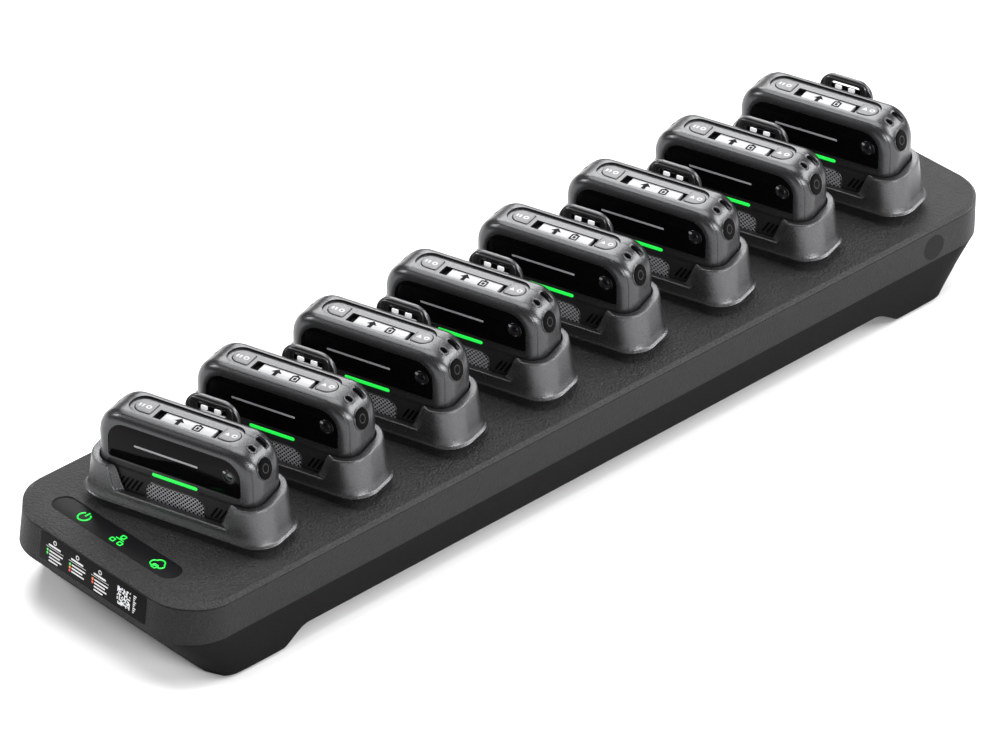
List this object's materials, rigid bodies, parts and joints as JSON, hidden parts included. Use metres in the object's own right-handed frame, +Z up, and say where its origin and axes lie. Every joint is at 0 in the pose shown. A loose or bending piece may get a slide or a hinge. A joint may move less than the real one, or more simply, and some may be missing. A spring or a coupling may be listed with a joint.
{
  "type": "multi-bay charging dock with body-worn radio units",
  "caption": "Long desk dock that holds and charges a row of body-worn radio units, each with a window, display, keys, light bar and clip; every unit lifts out.",
  "frame": {"origin": "on the table, under the middle of the dock", "axes": "+Y along the row of units, away from the status panel; +Z up; +X across the dock, to the right seen from the status panel's end"},
  "size_m": [0.1262, 0.5018, 0.0926],
  "materials": {
    "cover_plastic": "fine textured dark grey",
    "band_plastic": "fine textured mid dark grey",
    "base_plastic": "near black",
    "cup_plastic": "satin grey",
    "unit_plastic": "satin grey",
    "key_plastic": "satin grey",
    "clip_plastic": "satin dark grey",
    "black_plastic": "matt black",
    "gloss_panel": "gloss black",
    "window_glass": "gloss black, opaque to the eye",
    "lens_glass": "polished dark lens",
    "display": "pale lit display",
    "green_light": "lit green",
    "grille": "dark woven mesh",
    "label": "black printed label",
    "badge": "dark badge",
    "foot_rubber": "matt",
    "steel": "plain",
    "contact_metal": "polished",
    "circuit_board": "green board",
    "battery": "wrapped cell"
  },
  "bodies": {
    "dock": {"base_tray": "base_plastic", "side_band": "band_plastic", "top_cover": "cover_plastic", "status_panel": "gloss_panel", "status_icons": "green_light", "instruction_label": "label", "side_badge": "badge", "foot_pads": "foot_rubber", "case_screws": "steel", "main_board": "circuit_board", "contact_blocks": "black_plastic", "contact_strips": "contact_metal", "power_inlet": "black_plastic", "network_port": "black_plastic", "pocket_cups": "cup_plastic"},
    "radio_1": {"radio_1_front_cover": "unit_plastic", "radio_1_middle_housing": "unit_plastic", "radio_1_rear_housing": "unit_plastic", "radio_1_front_window": "window_glass", "radio_1_light_bar": "green_light", "radio_1_speaker_grille": "grille", "radio_1_camera_barrel": "black_plastic", "radio_1_camera_lens": "lens_glass", "radio_1_top_panel": "gloss_panel", "radio_1_display": "display", "radio_1_side_disc": "badge", "radio_1_mic_ring": "unit_plastic", "radio_1_corner_sensor": "gloss_panel", "radio_1_battery": "battery", "radio_1_circuit_board": "circuit_board", "radio_1_speaker": "black_plastic", "radio_1_charge_contacts": "contact_metal", "radio_1_case_screws": "steel", "radio_1_clip_bracket": "clip_plastic", "radio_1_clip_pin": "steel"},
    "radio_1_clip": {"radio_1_rear_clip": "clip_plastic"},
    "radio_1_left_key_press": {"radio_1_left_key": "key_plastic"},
    "radio_1_right_key_press": {"radio_1_right_key": "key_plastic"},
    "radio_2": {"radio_2_housing": "unit_plastic"},
    "radio_2_left_key_press": {"radio_2_left_key": "key_plastic"},
    "radio_2_right_key_press": {"radio_2_right_key": "key_plastic"},
    "radio_3": {"radio_3_housing": "unit_plastic"},
    "radio_3_left_key_press": {"radio_3_left_key": "key_plastic"},
    "radio_3_right_key_press": {"radio_3_right_key": "key_plastic"},
    "radio_4": {"radio_4_housing": "unit_plastic"},
    "radio_4_left_key_press": {"radio_4_left_key": "key_plastic"},
    "radio_4_right_key_press": {"radio_4_right_key": "key_plastic"},
    "radio_5": {"radio_5_housing": "unit_plastic"},
    "radio_5_left_key_press": {"radio_5_left_key": "key_plastic"},
    "radio_5_right_key_press": {"radio_5_right_key": "key_plastic"},
    "radio_6": {"radio_6_housing": "unit_plastic"},
    "radio_6_left_key_press": {"radio_6_left_key": "key_plastic"},
    "radio_6_right_key_press": {"radio_6_right_key": "key_plastic"},
    "radio_7": {"radio_7_housing": "unit_plastic"},
    "radio_7_left_key_press": {"radio_7_left_key": "key_plastic"},
    "radio_7_right_key_press": {"radio_7_right_key": "key_plastic"},
    "radio_8": {"radio_8_housing": "unit_plastic"},
    "radio_8_left_key_press": {"radio_8_left_key": "key_plastic"},
    "radio_8_right_key_press": {"radio_8_right_key": "key_plastic"}
  },
  "joints": [
    {"name": "radio_1_lift", "type": "slide", "parent": "dock", "child": "radio_1", "axis": [0, 0, 1], "range_m": [0, 0.06]},
    {"name": "radio_1_left_key_press", "type": "slide", "parent": "radio_1", "child": "radio_1_left_key_press", "axis": [0, 0, -1], "range_m": [0, 0.0006], "stiffness_N_per_m": 2000, "springref_m": -0.0005},
    {"name": "radio_1_right_key_press", "type": "slide", "parent": "radio_1", "child": "radio_1_right_key_press", "axis": [0, 0, -1], "range_m": [0, 0.0006], "stiffness_N_per_m": 2000, "springref_m": -0.0005},
    {"name": "radio_2_lift", "type": "slide", "parent": "dock", "child": "radio_2", "axis": [0, 0, 1], "range_m": [0, 0.06]},
    {"name": "radio_2_left_key_press", "type": "slide", "parent": "radio_2", "child": "radio_2_left_key_press", "axis": [0, 0, -1], "range_m": [0, 0.0006], "stiffness_N_per_m": 2000, "springref_m": -0.0005},
    {"name": "radio_2_right_key_press", "type": "slide", "parent": "radio_2", "child": "radio_2_right_key_press", "axis": [0, 0, -1], "range_m": [0, 0.0006], "stiffness_N_per_m": 2000, "springref_m": -0.0005},
    {"name": "radio_3_lift", "type": "slide", "parent": "dock", "child": "radio_3", "axis": [0, 0, 1], "range_m": [0, 0.06]},
    {"name": "radio_3_left_key_press", "type": "slide", "parent": "radio_3", "child": "radio_3_left_key_press", "axis": [0, 0, -1], "range_m": [0, 0.0006], "stiffness_N_per_m": 2000, "springref_m": -0.0005},
    {"name": "radio_3_right_key_press", "type": "slide", "parent": "radio_3", "child": "radio_3_right_key_press", "axis": [0, 0, -1], "range_m": [0, 0.0006], "stiffness_N_per_m": 2000, "springref_m": -0.0005},
    {"name": "radio_4_lift", "type": "slide", "parent": "dock", "child": "radio_4", "axis": [0, 0, 1], "range_m": [0, 0.06]},
    {"name": "radio_4_left_key_press", "type": "slide", "parent": "radio_4", "child": "radio_4_left_key_press", "axis": [0, 0, -1], "range_m": [0, 0.0006], "stiffness_N_per_m": 2000, "springref_m": -0.0005},
    {"name": "radio_4_right_key_press", "type": "slide", "parent": "radio_4", "child": "radio_4_right_key_press", "axis": [0, 0, -1], "range_m": [0, 0.0006], "stiffness_N_per_m": 2000, "springref_m": -0.0005},
    {"name": "radio_5_lift", "type": "slide", "parent": "dock", "child": "radio_5", "axis": [0, 0, 1], "range_m": [0, 0.06]},
    {"name": "radio_5_left_key_press", "type": "slide", "parent": "radio_5", "child": "radio_5_left_key_press", "axis": [0, 0, -1], "range_m": [0, 0.0006], "stiffness_N_per_m": 2000, "springref_m": -0.0005},
    {"name": "radio_5_right_key_press", "type": "slide", "parent": "radio_5", "child": "radio_5_right_key_press", "axis": [0, 0, -1], "range_m": [0, 0.0006], "stiffness_N_per_m": 2000, "springref_m": -0.0005},
    {"name": "radio_6_lift", "type": "slide", "parent": "dock", "child": "radio_6", "axis": [0, 0, 1], "range_m": [0, 0.06]},
    {"name": "radio_6_left_key_press", "type": "slide", "parent": "radio_6", "child": "radio_6_left_key_press", "axis": [0, 0, -1], "range_m": [0, 0.0006], "stiffness_N_per_m": 2000, "springref_m": -0.0005},
    {"name": "radio_6_right_key_press", "type": "slide", "parent": "radio_6", "child": "radio_6_right_key_press", "axis": [0, 0, -1], "range_m": [0, 0.0006], "stiffness_N_per_m": 2000, "springref_m": -0.0005},
    {"name": "radio_7_lift", "type": "slide", "parent": "dock", "child": "radio_7", "axis": [0, 0, 1], "range_m": [0, 0.06]},
    {"name": "radio_7_left_key_press", "type": "slide", "parent": "radio_7", "child": "radio_7_left_key_press", "axis": [0, 0, -1], "range_m": [0, 0.0006], "stiffness_N_per_m": 2000, "springref_m": -0.0005},
    {"name": "radio_7_right_key_press", "type": "slide", "parent": "radio_7", "child": "radio_7_right_key_press", "axis": [0, 0, -1], "range_m": [0, 0.0006], "stiffness_N_per_m": 2000, "springref_m": -0.0005},
    {"name": "radio_8_lift", "type": "slide", "parent": "dock", "child": "radio_8", "axis": [0, 0, 1], "range_m": [0, 0.06]},
    {"name": "radio_8_left_key_press", "type": "slide", "parent": "radio_8", "child": "radio_8_left_key_press", "axis": [0, 0, -1], "range_m": [0, 0.0006], "stiffness_N_per_m": 2000, "springref_m": -0.0005},
    {"name": "radio_8_right_key_press", "type": "slide", "parent": "radio_8", "child": "radio_8_right_key_press", "axis": [0, 0, -1], "range_m": [0, 0.0006], "stiffness_N_per_m": 2000, "springref_m": -0.0005},
    {"name": "radio_1_clip_squeeze", "type": "hinge", "parent": "radio_1", "child": "radio_1_clip", "pos_m": [-0.00002, -0.18202, 0.0796], "axis": [0.9602, 0.2793, 0], "range_deg": [0, 10], "stiffness_Nm_per_rad": 0.5, "springref_deg": -11.46}
  ]
}
